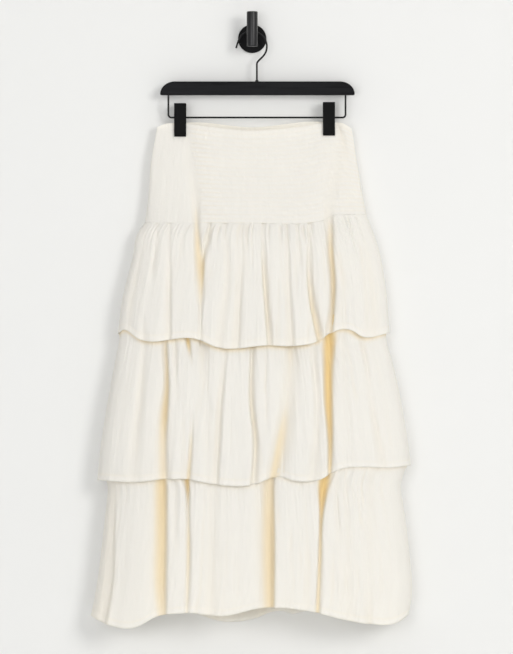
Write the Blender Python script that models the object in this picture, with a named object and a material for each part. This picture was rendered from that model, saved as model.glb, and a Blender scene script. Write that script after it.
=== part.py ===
"""Tiered ruffle skirt hung by its waist from a clip hanger, on a round wall hook.

Metres, +Z up. The origin is the middle of the hook plate's back face, which lies on the wall (y = 0).
The skirt's front faces -Y. The cloth is hollow and open at the waist and at the hem.
"""
import math

import bmesh
import bpy
import numpy as np

# Gaps and walls
GAP = 0.0003  # between pieces that meet
CLOTH = 0.0016  # thickness of the crinkled double cloth
HANG_Y = -0.024  # plane of the hanger, and of the skirt's side seams

# Wall hook
PLATE_RADIUS = 0.026
PLATE_THICK = 0.006
STEM_RADIUS = 0.0099
PEG_RADIUS = 0.010
PEG_Y = -0.044
PEG_TOP = 0.0467
PEG_BOTTOM = -0.0170

# Hanger
HOOK_WIRE = 0.0017  # radius
HOOK_BEND = 0.0278  # radius of the hook's centre line
HOOK_X = -0.001
NECK_X = 0.0085  # where the hook enters the bar
FERRULE_RADIUS = 0.0032
FERRULE_HEIGHT = 0.003
BAR_LEFT = -0.168
BAR_RIGHT = 0.187
BAR_TOP = -0.0796
BAR_BOTTOM = -0.1046
BAR_TIP = -0.1010  # top of the rounded ends
BAR_END = 0.027  # length of each rounded end
BAR_THICK = 0.012
RAIL_WIRE = 0.00135
RAIL_LEFT = -0.1534
RAIL_RIGHT = 0.1707
RAIL_Z = -0.1453
RAIL_BEND = 0.0055
CLIP_WIDTH = 0.022
CLIP_HEIGHT = 0.061
CLIPS = {"clip_left": (-0.1315, -0.1195), "clip_right": (0.1400, -0.1175)}  # middle x, top z

# Skirt: heights of the sewn lines and outlines as (height, x) down each side
SEAM_TIER_2 = -0.505
SEAM_TIER_3 = -0.760
FRONT_COLUMNS = 60
BACK_COLUMNS = 40
OVAL = {"front": 3.0, "back": 4.0}  # how square each half's section is

WAIST = {
    "front": ((-0.174, -0.167), (-0.160, -0.159), (-0.130, -0.156), (-0.090, -0.161), (0.0, -0.170),
              (0.090, -0.162), (0.140, -0.155), (0.168, -0.157), (0.182, -0.166)),
    "back": ((-0.174, -0.167), (-0.130, -0.156), (0.0, -0.163), (0.140, -0.155), (0.182, -0.166)),
}
YOKE_SEAM = ((-0.210, -0.338), (0.0, -0.3385), (0.105, -0.338), (0.128, -0.334), (0.145, -0.3255),
             (0.165, -0.324), (0.215, -0.323))

LEFT = {
    "yoke": ((-0.167, -0.174), (-0.222, -0.184), (-0.295, -0.190), (-0.338, -0.196)),
    "tier_1": ((-0.338, -0.196), (-0.350, -0.205), (-0.405, -0.219), (-0.478, -0.237), (-0.545, -0.246)),
    "tier_2": ((-0.545, -0.241), (-0.660, -0.263), (-0.752, -0.277), (-0.810, -0.283)),
    "tier_3": ((-0.800, -0.260), (-0.898, -0.271), (-0.989, -0.282), (-1.065, -0.296)),
}
RIGHT = {
    "yoke": ((-0.167, 0.182), (-0.231, 0.192), (-0.295, 0.203), (-0.325, 0.209)),
    "tier_1": ((-0.325, 0.209), (-0.340, 0.215), (-0.386, 0.231), (-0.459, 0.244), (-0.540, 0.251)),
    "tier_2": ((-0.540, 0.240), (-0.596, 0.257), (-0.660, 0.271), (-0.752, 0.286), (-0.785, 0.290)),
    "tier_3": ((-0.780, 0.263), (-0.861, 0.277), (-0.952, 0.288), (-1.007, 0.292), (-1.060, 0.284)),
}
# How far the cloth stands in front of the hanger's plane, and behind it, as (height, distance)
DEPTH = {
    "yoke": {
        "front": ((-0.150, 0.0032), (-0.181, 0.0045), (-0.220, 0.012), (-0.280, 0.022), (-0.338, 0.032)),
        "back": ((-0.150, 0.0032), (-0.181, 0.0045), (-0.220, 0.008), (-0.280, 0.012), (-0.338, 0.015)),
    },
    "tier_1": {
        "front": ((-0.322, 0.030), (-0.338, 0.032), (-0.360, 0.040), (-0.430, 0.050), (-0.560, 0.064)),
        "back": ((-0.322, 0.0142), (-0.338, 0.015), (-0.360, 0.018), (-0.560, 0.0195)),
    },
    "tier_2": {
        "front": ((-0.555, 0.040), (-0.600, 0.058), (-0.700, 0.072), (-0.810, 0.080)),
        "back": ((-0.555, 0.0085), (-0.600, 0.016), (-0.700, 0.0195), (-0.810, 0.020)),
    },
    "tier_3": {
        "front": ((-0.810, 0.052), (-0.860, 0.072), (-0.950, 0.082), (-1.060, 0.088)),
        "back": ((-0.810, 0.0075), (-0.860, 0.016), (-0.950, 0.0195), (-1.060, 0.020)),
    },
}
WAIST_BULGE = 0.005  # how far the front stands forward between the clips
BULGE_REACH = 0.110

HEM = {
    "tier_1": {
        "front": ((-0.247, -0.541), (-0.238, -0.534), (-0.205, -0.550), (-0.096, -0.551), (-0.068, -0.563),
                  (0.030, -0.561), (0.078, -0.562), (0.120, -0.553), (0.143, -0.538), (0.178, -0.533),
                  (0.200, -0.545), (0.252, -0.538)),
        "back": ((-0.247, -0.541), (-0.120, -0.556), (0.0, -0.561), (0.120, -0.556), (0.252, -0.538)),
    },
    "tier_2": {
        "front": ((-0.284, -0.806), (-0.205, -0.808), (-0.160, -0.803), (-0.118, -0.803), (-0.068, -0.812),
                  (-0.005, -0.814), (0.050, -0.799), (0.080, -0.806), (0.128, -0.801), (0.146, -0.790),
                  (0.211, -0.781), (0.242, -0.783), (0.291, -0.779)),
        "back": ((-0.284, -0.806), (-0.140, -0.811), (0.0, -0.815), (0.140, -0.806), (0.291, -0.779)),
    },
    "tier_3": {
        "front": ((-0.296, -1.052), (-0.264, -1.066), (-0.209, -1.070), (-0.178, -1.053), (-0.118, -1.044),
                  (-0.050, -1.049), (0.010, -1.036), (0.110, -1.042), (0.160, -1.055), (0.215, -1.065),
                  (0.262, -1.064), (0.292, -1.046)),
        "back": ((-0.296, -1.052), (-0.150, -1.066), (-0.030, -1.068), (0.070, -1.059), (0.180, -1.066),
                 (0.292, -1.046)),
    },
}
# Folds: each is a run of (height, x, depth, half width) down the cloth, pressed inwards
LONG_FOLDS = (  # these two start in the yoke and run on down the first tier
    ((-0.186, -0.120, 0.0005, 0.013), (-0.277, -0.107, 0.004, 0.013), (-0.336, -0.096, 0.009, 0.013),
     (-0.395, -0.096, 0.024, 0.012), (-0.450, -0.094, 0.024, 0.011), (-0.551, -0.094, 0.018, 0.010)),
    ((-0.186, 0.154, 0.0005, 0.012), (-0.249, 0.152, 0.003, 0.012), (-0.326, 0.138, 0.009, 0.011),
     (-0.386, 0.143, 0.022, 0.010), (-0.441, 0.147, 0.025, 0.010), (-0.550, 0.143, 0.025, 0.010)),
)
FOLDS = {
    "front": {
        "yoke": LONG_FOLDS,
        "tier_1": LONG_FOLDS + (
            ((-0.370, 0.019, 0.0, 0.009), (-0.450, 0.024, 0.010, 0.010), (-0.555, 0.030, 0.014, 0.011)),
            ((-0.370, 0.103, 0.0, 0.009), (-0.440, 0.102, 0.010, 0.010), (-0.555, 0.121, 0.018, 0.012)),
            ((-0.380, -0.019, 0.0, 0.012), (-0.480, -0.023, 0.008, 0.013), (-0.560, -0.028, 0.011, 0.014)),
            ((-0.380, -0.150, 0.0, 0.012), (-0.550, -0.150, 0.009, 0.014)),
            ((-0.370, -0.196, 0.001, 0.010), (-0.478, -0.216, 0.006, 0.012), (-0.540, -0.226, 0.004, 0.012)),
            ((-0.360, 0.063, 0.0, 0.010), (-0.480, 0.067, 0.007, 0.011), (-0.560, 0.072, 0.009, 0.012)),
            ((-0.360, 0.200, 0.001, 0.012), (-0.460, 0.218, 0.007, 0.013), (-0.540, 0.219, 0.006, 0.014)),
            ((-0.360, -0.050, 0.0, 0.012), (-0.560, -0.060, 0.006, 0.014)),
        ),
        "tier_2": (
            ((-0.550, -0.195, 0.003, 0.011), (-0.660, -0.204, 0.008, 0.013), (-0.800, -0.214, 0.006, 0.015)),
            ((-0.550, -0.156, 0.010, 0.010), (-0.660, -0.153, 0.020, 0.011), (-0.730, -0.161, 0.024, 0.013),
             (-0.810, -0.160, 0.026, 0.014)),
            ((-0.550, -0.112, 0.004, 0.009), (-0.750, -0.111, 0.010, 0.010), (-0.810, -0.116, 0.012, 0.010)),
            ((-0.550, -0.045, 0.003, 0.010), (-0.660, -0.056, 0.009, 0.012), (-0.810, -0.065, 0.013, 0.014)),
            ((-0.560, -0.001, 0.005, 0.009), (-0.670, -0.002, 0.012, 0.010), (-0.735, 0.005, 0.014, 0.011),
             (-0.810, 0.001, 0.014, 0.011)),
            ((-0.560, 0.069, 0.012, 0.014), (-0.660, 0.063, 0.020, 0.014), (-0.735, 0.050, 0.022, 0.014),
             (-0.810, 0.038, 0.024, 0.015)),
            ((-0.560, 0.109, 0.002, 0.010), (-0.735, 0.116, 0.007, 0.012), (-0.800, 0.108, 0.009, 0.013)),
            ((-0.550, 0.140, 0.030, 0.012), (-0.660, 0.138, 0.030, 0.011), (-0.735, 0.140, 0.027, 0.010),
             (-0.800, 0.140, 0.022, 0.010)),
            ((-0.550, 0.198, 0.004, 0.010), (-0.660, 0.211, 0.007, 0.013), (-0.790, 0.236, 0.008, 0.015)),
        ),
        "tier_3": (
            ((-0.810, -0.250, 0.006, 0.010), (-0.898, -0.255, 0.014, 0.012), (-0.989, -0.262, 0.020, 0.013),
             (-1.060, -0.272, 0.022, 0.014)),
            ((-0.810, -0.160, 0.022, 0.011), (-0.900, -0.160, 0.026, 0.012), (-1.050, -0.161, 0.024, 0.013)),
            ((-0.800, -0.118, 0.014, 0.009), (-0.850, -0.114, 0.010, 0.009), (-1.040, -0.118, 0.010, 0.010)),
            ((-0.820, -0.072, 0.003, 0.012), (-1.050, -0.076, 0.008, 0.014)),
            ((-0.810, 0.030, 0.020, 0.014), (-0.920, 0.033, 0.026, 0.015), (-1.030, 0.030, 0.024, 0.015)),
            ((-0.790, 0.131, 0.026, 0.010), (-0.850, 0.127, 0.024, 0.010), (-0.950, 0.122, 0.020, 0.010),
             (-1.040, 0.118, 0.018, 0.011)),
            ((-0.800, 0.165, 0.004, 0.010), (-0.880, 0.172, 0.006, 0.012), (-1.050, 0.176, 0.006, 0.014)),
            ((-0.800, 0.215, 0.003, 0.012), (-0.950, 0.213, 0.006, 0.014), (-1.060, 0.212, 0.010, 0.014)),
        ),
    },
    "back": {
        "yoke": (),
        "tier_1": (
            ((-0.360, -0.120, 0.0, 0.014), (-0.560, -0.150, 0.006, 0.018)),
            ((-0.360, -0.045, 0.0, 0.013), (-0.560, -0.060, 0.007, 0.017)),
            ((-0.360, 0.030, 0.0, 0.014), (-0.560, 0.035, 0.006, 0.018)),
            ((-0.360, 0.115, 0.0, 0.014), (-0.560, 0.140, 0.007, 0.018)),
        ),
        "tier_2": (
            ((-0.560, -0.180, 0.001, 0.014), (-0.800, -0.195, 0.004, 0.020)),
            ((-0.560, -0.095, 0.001, 0.013), (-0.800, -0.110, 0.007, 0.018)),
            ((-0.560, -0.010, 0.001, 0.014), (-0.800, -0.015, 0.006, 0.020)),
            ((-0.560, 0.080, 0.001, 0.013), (-0.800, 0.090, 0.007, 0.018)),
            ((-0.560, 0.165, 0.001, 0.014), (-0.780, 0.190, 0.006, 0.019)),
        ),
        "tier_3": (
            ((-0.820, -0.150, 0.001, 0.014), (-1.060, -0.165, 0.008, 0.020)),
            ((-0.820, -0.060, 0.001, 0.014), (-1.060, -0.070, 0.007, 0.019)),
            ((-0.820, 0.030, 0.001, 0.013), (-1.060, 0.025, 0.008, 0.018)),
            ((-0.820, 0.115, 0.001, 0.014), (-1.060, 0.125, 0.007, 0.020)),
            ((-0.820, 0.195, 0.001, 0.013), (-1.060, 0.215, 0.006, 0.018)),
        ),
    },
}
ABOVE = {"tier_2": "tier_1", "tier_3": "tier_2"}  # the tier that each lower one is sewn inside
SEWN_AT = {"tier_2": SEAM_TIER_2, "tier_3": SEAM_TIER_3}
SEAM_FADE = 0.070  # below its seam, a tier takes on its own shape over this height
ROWS = {  # heights of the rings between a piece's top edge and its bottom edge
    "yoke": (-0.190, -0.240, -0.290),
    "tier_1": (-0.362, -0.430, SEAM_TIER_2),
    "tier_2": (-0.557, -0.650, SEAM_TIER_3),
    "tier_3": (-0.815, -0.900, -0.985),
}


def smooth_step(low, high, value):
    share = np.clip((value - low) / (high - low), 0.0, 1.0)
    return share * share * (3.0 - 2.0 * share)


def along(keys, place):
    """The value at place on a smooth curve through (place, value) keys, held level past its ends."""
    keys = sorted(keys)
    places = [key[0] for key in keys]
    values = [key[1] for key in keys]
    if place <= places[0]:
        return values[0]
    if place >= places[-1]:
        return values[-1]
    slopes = np.gradient(values, places)
    i = int(np.searchsorted(places, place)) - 1
    span = places[i + 1] - places[i]
    t = (place - places[i]) / span
    return (
        values[i] * (1 + 2 * t) * (1 - t) ** 2
        + values[i + 1] * t * t * (3 - 2 * t)
        + slopes[i] * span * t * (1 - t) ** 2
        - slopes[i + 1] * span * t * t * (1 - t)
    )


def fold_depth(folds, x, z):
    """How far the folds press the cloth inwards at this place."""
    total = 0.0
    for keys in folds:
        centre = along([(key[0], key[1]) for key in keys], z)
        depth = along([(key[0], key[2]) for key in keys], z)
        width = along([(key[0], key[3]) for key in keys], z)
        total += max(depth, 0.0) * math.exp(-(((x - centre) / width) ** 2))
    return total


def own_point(tier, side, share, z, inset):
    """A point of the piece's own form. share runs from -1 at the left seam to 1 at the right one."""
    x_left = along(LEFT[tier], z) + inset
    x_right = along(RIGHT[tier], z) - inset
    u = math.sin(share * math.pi / 2)
    x = (x_left + x_right) / 2 + (x_right - x_left) / 2 * u
    outer_x = x + inset * u
    power = OVAL[side]
    oval = max(1 - abs(u) ** power, 0.0) ** (1 / power)
    depth = along(DEPTH[tier][side], z) - inset
    if tier == "yoke" and side == "front":
        reach = max(1 - (outer_x / BULGE_REACH) ** 2, 0.0)
        depth += WAIST_BULGE * reach * smooth_step(-0.260, -0.180, z)
    folds = FOLDS[side][tier]
    edge = 1 - u**8  # folds die out at the side seams
    fold = fold_depth(folds, outer_x, z) * edge
    if inset:
        step = 0.001
        ahead = fold_depth(folds, outer_x + step, z)
        behind = fold_depth(folds, outer_x - step, z)
        slope = (ahead - behind) / (2 * step) * edge
        fold += inset * (math.sqrt(1 + min(slope * slope, 4.0)) - 1)
    outward = -1 if side == "front" else 1
    return np.array((x, HANG_Y + outward * (GAP / 2 + depth * oval - fold), z))


def cloth_point(tier, side, share, z, inset=0.0):
    """A point of the hung cloth: near its seam a lower tier follows the inside of the tier above."""
    point = own_point(tier, side, share, z, inset)
    if tier not in ABOVE:
        return point
    seam = SEWN_AT[tier]
    held = smooth_step(seam - SEAM_FADE, seam, z)
    if held <= 0:
        return point
    above = ABOVE[tier]
    lowest = hem_height(above, side, share)
    follow = cloth_point(above, side, share, max(z, lowest), inset + CLOTH + GAP)
    follow[2] = z
    return point * (1 - held) + follow * held


def hem_height(tier, side, share):
    """Height of a tier's hem, from its x."""
    height = HEM[tier][side][0][1]
    for _ in range(3):
        x = own_point(tier, side, share, height, 0.0)[0]
        height = along(HEM[tier][side], x)
    return height


def seam_height(share):
    """Height of the seam that joins the yoke and the first tier."""
    height = YOKE_SEAM[0][1]
    for _ in range(3):
        x = own_point("yoke", "front", share, height, 0.0)[0]
        height = along(YOKE_SEAM, x)
    return height


def column_heights(tier, side, share):
    """Heights of one column of points, from the piece's top edge to its bottom edge."""
    if tier == "yoke":
        x = own_point("yoke", side, share, -0.165, 0.0)[0]
        return [along(WAIST[side], x), *ROWS[tier], seam_height(share) + GAP / 2]
    if tier == "tier_1":
        return [seam_height(share) - GAP / 2, *ROWS[tier], hem_height(tier, side, share)]
    return [SEWN_AT[tier], *ROWS[tier], hem_height(tier, side, share)]


def shaded(data, name, angle=40):
    data.shade_smooth()
    data.set_sharp_from_angle(angle=math.radians(angle))
    return bpy.data.objects.new(name, data)


def finished(obj, material):
    """Links an object to the scene with its material."""
    bpy.context.scene.collection.objects.link(obj)
    obj.data.materials.clear()
    obj.data.materials.append(material)
    return obj


def make_material(name, colour, roughness, metallic=0.0):
    material = bpy.data.materials.new(name)
    material.use_nodes = True
    shader = material.node_tree.nodes["Principled BSDF"]
    shader.inputs["Base Color"].default_value = (*colour, 1.0)
    shader.inputs["Roughness"].default_value = roughness
    shader.inputs["Metallic"].default_value = metallic
    return material


def make_panel(tier, side, material):
    """One cut piece of cloth as a closed wall: its outer face, its inner face and the edges between."""
    columns = FRONT_COLUMNS if side == "front" else BACK_COLUMNS
    shares = [-1 + 2 * i / columns for i in range(columns + 1)]
    bm = bmesh.new()
    faces = []
    for inset in (0.0, CLOTH):
        grid = []
        for share in shares:
            heights = column_heights(tier, side, share)
            grid.append([bm.verts.new(cloth_point(tier, side, share, z, inset)) for z in heights])
        faces.append(grid)
    outer, inner = faces
    rows = len(outer[0])
    for i in range(columns):
        for j in range(rows - 1):
            bm.faces.new((outer[i][j], outer[i][j + 1], outer[i + 1][j + 1], outer[i + 1][j]))
            bm.faces.new((inner[i][j], inner[i + 1][j], inner[i + 1][j + 1], inner[i][j + 1]))
        for j in (0, rows - 1):
            edge = (outer[i][j], outer[i + 1][j], inner[i + 1][j], inner[i][j])
            bm.faces.new(edge if j == 0 else edge[::-1])
    for i in (0, columns):
        for j in range(rows - 1):
            edge = (outer[i][j + 1], outer[i][j], inner[i][j], inner[i][j + 1])
            bm.faces.new(edge if i == 0 else edge[::-1])
    bmesh.ops.recalc_face_normals(bm, faces=bm.faces)
    mesh = bpy.data.meshes.new(f"{tier}_{side}")
    bm.to_mesh(mesh)
    bm.free()
    return finished(shaded(mesh, f"{tier}_{side}", 60), material)


def make_cylinder(name, radius, length, centre, along_y, material, sides=32, edge=0.0):
    """A round bar along Z or Y, with its rims rounded by edge."""
    bm = bmesh.new()
    bmesh.ops.create_cone(
        bm, cap_ends=True, segments=sides, radius1=radius, radius2=radius, depth=length
    )
    mesh = bpy.data.meshes.new(name)
    bm.to_mesh(mesh)
    bm.free()
    obj = finished(shaded(mesh, name), material)
    obj.location = centre
    if along_y:
        obj.rotation_euler.x = math.radians(90)
    if edge:
        bevel = obj.modifiers.new("rim", "BEVEL")
        bevel.width = edge
        bevel.segments = 2
        bevel.limit_method = "ANGLE"
        bevel.angle_limit = math.radians(60)
    return obj


def cut_or_join(obj, other, operation):
    """Adds an exact Boolean of obj with other, which is kept as a guide and not shown."""
    boolean = obj.modifiers.new(operation.lower(), "BOOLEAN")
    boolean.object = other
    boolean.operation = operation
    other.hide_render = True
    other.display_type = "WIRE"


def make_wire(name, points, radius, material, sides=2):
    """A bent wire: a poly curve with a round bevel and closed ends."""
    curve = bpy.data.curves.new(name, "CURVE")
    curve.dimensions = "3D"
    curve.bevel_depth = radius
    curve.bevel_resolution = sides
    curve.use_fill_caps = True
    spline = curve.splines.new("POLY")
    spline.points.add(len(points) - 1)
    for point, place in zip(spline.points, points):
        point.co = (*place, 1.0)
    return finished(bpy.data.objects.new(name, curve), material)


def arc(centre_x, centre_z, radius, start, end, steps):
    """Points on an arc in the hanger's plane, from start to end in degrees."""
    angles = [math.radians(start + (end - start) * i / steps) for i in range(steps + 1)]
    return [
        (centre_x + radius * math.cos(a), HANG_Y, centre_z + radius * math.sin(a)) for a in angles
    ]


def make_wall_hook(metal):
    make_cylinder("hook_plate", PLATE_RADIUS, PLATE_THICK, (0, -PLATE_THICK / 2, 0), True, metal, 40, 0.0012)
    peg_height = PEG_TOP - PEG_BOTTOM
    peg_middle = (PEG_TOP + PEG_BOTTOM) / 2
    peg = make_cylinder("hook_peg", PEG_RADIUS, peg_height, (0, PEG_Y, peg_middle), False, metal, 32, 0.0015)
    stem_end = -PLATE_THICK - GAP
    stem_middle = (0, (PEG_Y + stem_end) / 2, 0)
    stem = make_cylinder("stem_guide", STEM_RADIUS, stem_end - PEG_Y, stem_middle, True, metal)
    cut_or_join(peg, stem, "UNION")


def make_hanger(wood, metal, plastic):
    bend_z = STEM_RADIUS + GAP + HOOK_WIRE - HOOK_BEND  # the wire rests on the stem
    hook = arc(HOOK_X, bend_z, HOOK_BEND, 187, 0, 16)
    hook += [(0.0253, HANG_Y, -0.0245), (0.0208, HANG_Y, -0.0323), (0.0118, HANG_Y, -0.0415)]
    ferrule_top = BAR_TOP + GAP + FERRULE_HEIGHT
    hook += [(0.0092, HANG_Y, -0.0450), (NECK_X, HANG_Y, -0.0490), (NECK_X, HANG_Y, ferrule_top + GAP)]
    make_wire("hanger_hook", hook, HOOK_WIRE, metal)
    ferrule_middle = (NECK_X, HANG_Y, BAR_TOP + GAP + FERRULE_HEIGHT / 2)
    make_cylinder("hanger_ferrule", FERRULE_RADIUS, FERRULE_HEIGHT, ferrule_middle, False, metal, 16)
    make_bar(wood)
    start = (RAIL_LEFT, HANG_Y, BAR_BOTTOM - GAP)
    end = (RAIL_RIGHT, HANG_Y, BAR_BOTTOM - GAP)
    corner_z = RAIL_Z + RAIL_BEND
    rail = [start, *arc(RAIL_LEFT + RAIL_BEND, corner_z, RAIL_BEND, 180, 270, 4)]
    rail += [*arc(RAIL_RIGHT - RAIL_BEND, corner_z, RAIL_BEND, 270, 360, 4), end]
    make_wire("hanger_rail", rail, RAIL_WIRE, metal)
    for name, (x, top) in CLIPS.items():
        make_clip(name, x, top, plastic)


def make_extrusion(name, places, run, material):
    """A flat outline drawn along run."""
    bm = bmesh.new()
    face = bm.faces.new([bm.verts.new(place) for place in places])
    moved = bmesh.ops.extrude_face_region(bm, geom=[face])["geom"]
    verts = [v for v in moved if isinstance(v, bmesh.types.BMVert)]
    bmesh.ops.translate(bm, verts=verts, vec=run)
    bmesh.ops.recalc_face_normals(bm, faces=bm.faces)
    mesh = bpy.data.meshes.new(name)
    bm.to_mesh(mesh)
    bm.free()
    return finished(shaded(mesh, name), material)


def make_bar(wood):
    """The straight bar, with both ends of its top edge rounded down."""
    rise = BAR_TOP - BAR_TIP
    steps = 6
    outline = [(BAR_LEFT + 0.0015, BAR_BOTTOM), (BAR_RIGHT - 0.0015, BAR_BOTTOM)]
    for i in range(steps + 1):
        a = math.pi / 2 * i / steps
        outline.append((BAR_RIGHT - BAR_END * (1 - math.cos(a)), BAR_TIP + rise * math.sin(a)))
    for i in range(steps, -1, -1):
        a = math.pi / 2 * i / steps
        outline.append((BAR_LEFT + BAR_END * (1 - math.cos(a)), BAR_TIP + rise * math.sin(a)))
    front = HANG_Y - BAR_THICK / 2
    places = [(x, front, z) for x, z in outline]
    bar = make_extrusion("hanger_bar", places, (0, BAR_THICK, 0), wood)
    bevel = bar.modifiers.new("eased edges", "BEVEL")
    bevel.width = 0.0018
    bevel.segments = 2
    bevel.limit_method = "ANGLE"
    bevel.angle_limit = math.radians(60)


def make_clip(name, x, top, plastic):
    """A sprung clip in side view: two leaves joined at the pivot, which the rail runs through."""
    bottom = top - CLIP_HEIGHT
    handle, pivot, grip, leaf = 0.0115, 0.0085, 0.0051, 0.0030  # half depths, and a leaf's thickness
    half = [
        (0.0, RAIL_Z + 0.0050),
        (pivot - leaf, RAIL_Z + 0.0060),
        (handle - leaf, top),
        (handle, top),
        (pivot, RAIL_Z + 0.0040),
        (pivot, bottom + 0.0020),
        (pivot - 0.0010, bottom),
        (grip, bottom),
        (grip, RAIL_Z - 0.0075),
        (0.0, RAIL_Z - 0.0065),
    ]
    outline = half + [(-y, z) for y, z in half[-2:0:-1]]
    left = x - CLIP_WIDTH / 2
    places = [(left, HANG_Y + y, z) for y, z in outline]
    clip = make_extrusion(name, places, (CLIP_WIDTH, 0, 0), plastic)
    cutter = make_cylinder(f"{name}_bore", RAIL_WIRE + GAP, CLIP_WIDTH * 2, (x, HANG_Y, RAIL_Z), False,
                           plastic, 16)
    cutter.rotation_euler.y = math.radians(90)
    cut_or_join(clip, cutter, "DIFFERENCE")


def make_skirt(cloth):
    for tier in ("yoke", "tier_1", "tier_2", "tier_3"):
        for side in ("front", "back"):
            make_panel(tier, side, cloth)


def main():
    for obj in list(bpy.data.objects):
        bpy.data.objects.remove(obj)
    cloth = make_material("cream crinkled cotton", (0.86, 0.82, 0.72), 0.9)
    wood = make_material("black stained wood", (0.030, 0.030, 0.032), 0.5)
    metal = make_material("black painted metal", (0.028, 0.028, 0.030), 0.4, 0.3)
    plastic = make_material("matte black plastic", (0.012, 0.012, 0.012), 0.6)
    make_wall_hook(metal)
    make_hanger(wood, metal, plastic)
    make_skirt(cloth)


main()
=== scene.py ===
import math

import bmesh
import bpy
import numpy as np
from mathutils import Matrix, Vector


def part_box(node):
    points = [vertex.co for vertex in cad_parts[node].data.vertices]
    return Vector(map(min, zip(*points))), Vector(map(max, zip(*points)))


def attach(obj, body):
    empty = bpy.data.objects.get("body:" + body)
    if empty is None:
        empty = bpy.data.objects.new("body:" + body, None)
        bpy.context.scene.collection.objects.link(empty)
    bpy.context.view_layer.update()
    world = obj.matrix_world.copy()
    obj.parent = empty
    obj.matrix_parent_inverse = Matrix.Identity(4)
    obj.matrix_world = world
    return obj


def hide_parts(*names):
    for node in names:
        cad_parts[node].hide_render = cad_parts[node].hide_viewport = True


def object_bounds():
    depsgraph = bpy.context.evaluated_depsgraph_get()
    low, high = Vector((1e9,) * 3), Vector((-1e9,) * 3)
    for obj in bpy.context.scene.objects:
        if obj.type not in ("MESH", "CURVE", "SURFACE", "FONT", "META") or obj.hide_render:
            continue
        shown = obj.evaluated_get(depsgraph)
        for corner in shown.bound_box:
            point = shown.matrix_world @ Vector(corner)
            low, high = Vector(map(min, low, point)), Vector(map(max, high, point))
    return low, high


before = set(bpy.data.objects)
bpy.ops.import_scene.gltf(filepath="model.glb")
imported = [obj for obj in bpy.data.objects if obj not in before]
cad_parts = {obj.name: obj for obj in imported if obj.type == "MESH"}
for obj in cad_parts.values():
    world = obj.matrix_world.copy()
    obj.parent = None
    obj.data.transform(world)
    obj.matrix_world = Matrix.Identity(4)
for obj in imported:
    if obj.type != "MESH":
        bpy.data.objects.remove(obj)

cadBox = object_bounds()
print("frame loaded:", len(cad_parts), "nodes")


# small helpers

def smoothStep(low, high, value):
    share = np.clip((value - low) / (high - low), 0.0, 1.0)
    return share * share * (3.0 - 2.0 * share)


def along(keys, place):
    # smooth curve through (place, value) keys, held level past its ends
    keys = sorted(keys)
    places = np.array([key[0] for key in keys])
    values = np.array([key[1] for key in keys])
    slopes = np.gradient(values, places)
    place = np.clip(place, places[0], places[-1])
    i = np.clip(np.searchsorted(places, place) - 1, 0, len(places) - 2)
    span = places[i + 1] - places[i]
    t = (place - places[i]) / span
    return (
        values[i] * (1 + 2 * t) * (1 - t) ** 2
        + values[i + 1] * t * t * (3 - 2 * t)
        + slopes[i] * span * t * (1 - t) ** 2
        - slopes[i + 1] * span * t * t * (1 - t)
    )


def softNoise(across, down, seed):
    # smooth random hills from -1 to 1, one lattice step per unit
    lattice = np.random.default_rng(seed).uniform(-1, 1, (509, 127))
    i = np.floor(across).astype(int)
    j = np.floor(down).astype(int)
    a = across - i
    d = down - j
    a = a * a * (3 - 2 * a)
    d = d * d * (3 - 2 * d)
    near = lattice[i % 509, j % 127] * (1 - a) + lattice[(i + 1) % 509, j % 127] * a
    far = lattice[i % 509, (j + 1) % 127] * (1 - a) + lattice[(i + 1) % 509, (j + 1) % 127] * a
    return near * (1 - d) + far * d


def hill(value, middle, width):
    return np.exp(-(((value - middle) / width) ** 2))


def outwardOf(side):
    return -1 if side == "front" else 1


def linkObject(name, data):
    obj = bpy.data.objects.new(name, data)
    bpy.context.scene.collection.objects.link(obj)
    return obj


def addObject(name, data, material):
    obj = linkObject(name, data)
    data.materials.clear()
    data.materials.append(material)
    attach(obj, "root")
    return obj


def meshFrom(name, places, faces, smooth=True):
    mesh = bpy.data.meshes.new(name)
    mesh.from_pydata(np.asarray(places).tolist(), [], faces)
    mesh.validate()
    if smooth:
        mesh.shade_smooth()
    return mesh


# shader groups

def setInputs(node, values):
    for key, value in values.items():
        node.inputs[key].default_value = value


def addNode(tree, kind, values=None, **settings):
    node = tree.nodes.new(kind)
    for key, value in settings.items():
        setattr(node, key, value)
    setInputs(node, values or {})
    return node


def feed(tree, socket, given):
    # a socket takes a number or another node's output
    if isinstance(given, (int, float)):
        socket.default_value = given
    else:
        tree.links.new(given, socket)


def maths(tree, operation, *given):
    node = addNode(tree, "ShaderNodeMath", operation=operation)
    for socket, value in zip(node.inputs, given):
        feed(tree, socket, value)
    return node.outputs[0]


def times(tree, first, second):
    return maths(tree, "MULTIPLY", first, second)


def plus(tree, first, second):
    return maths(tree, "ADD", first, second)


def noise(tree, place, scale=1.0, detail=2.0, roughness=0.5):
    node = addNode(tree, "ShaderNodeTexNoise", {"Detail": detail, "Roughness": roughness})
    feed(tree, node.inputs["Scale"], scale)
    tree.links.new(place, node.inputs["Vector"])
    return node.outputs[0]


def joined(tree, x, y, z):
    node = addNode(tree, "ShaderNodeCombineXYZ")
    for socket, given in zip(node.inputs, (x, y, z)):
        feed(tree, socket, given)
    return node.outputs[0]


def apart(tree, place):
    node = addNode(tree, "ShaderNodeSeparateXYZ")
    tree.links.new(place, node.inputs[0])
    return node.outputs


def mixColours(tree, share, first, second):
    node = addNode(tree, "ShaderNodeMix", data_type="RGBA")
    for i, given in ((0, share), (6, first), (7, second)):
        tree.links.new(given, node.inputs[i])
    return node.outputs[2]


def smoothBand(tree, value, low, high):
    node = addNode(tree, "ShaderNodeMapRange", {"From Min": low, "From Max": high},
                   interpolation_type="SMOOTHSTEP")
    tree.links.new(value, node.inputs["Value"])
    return node.outputs["Result"]


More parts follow.
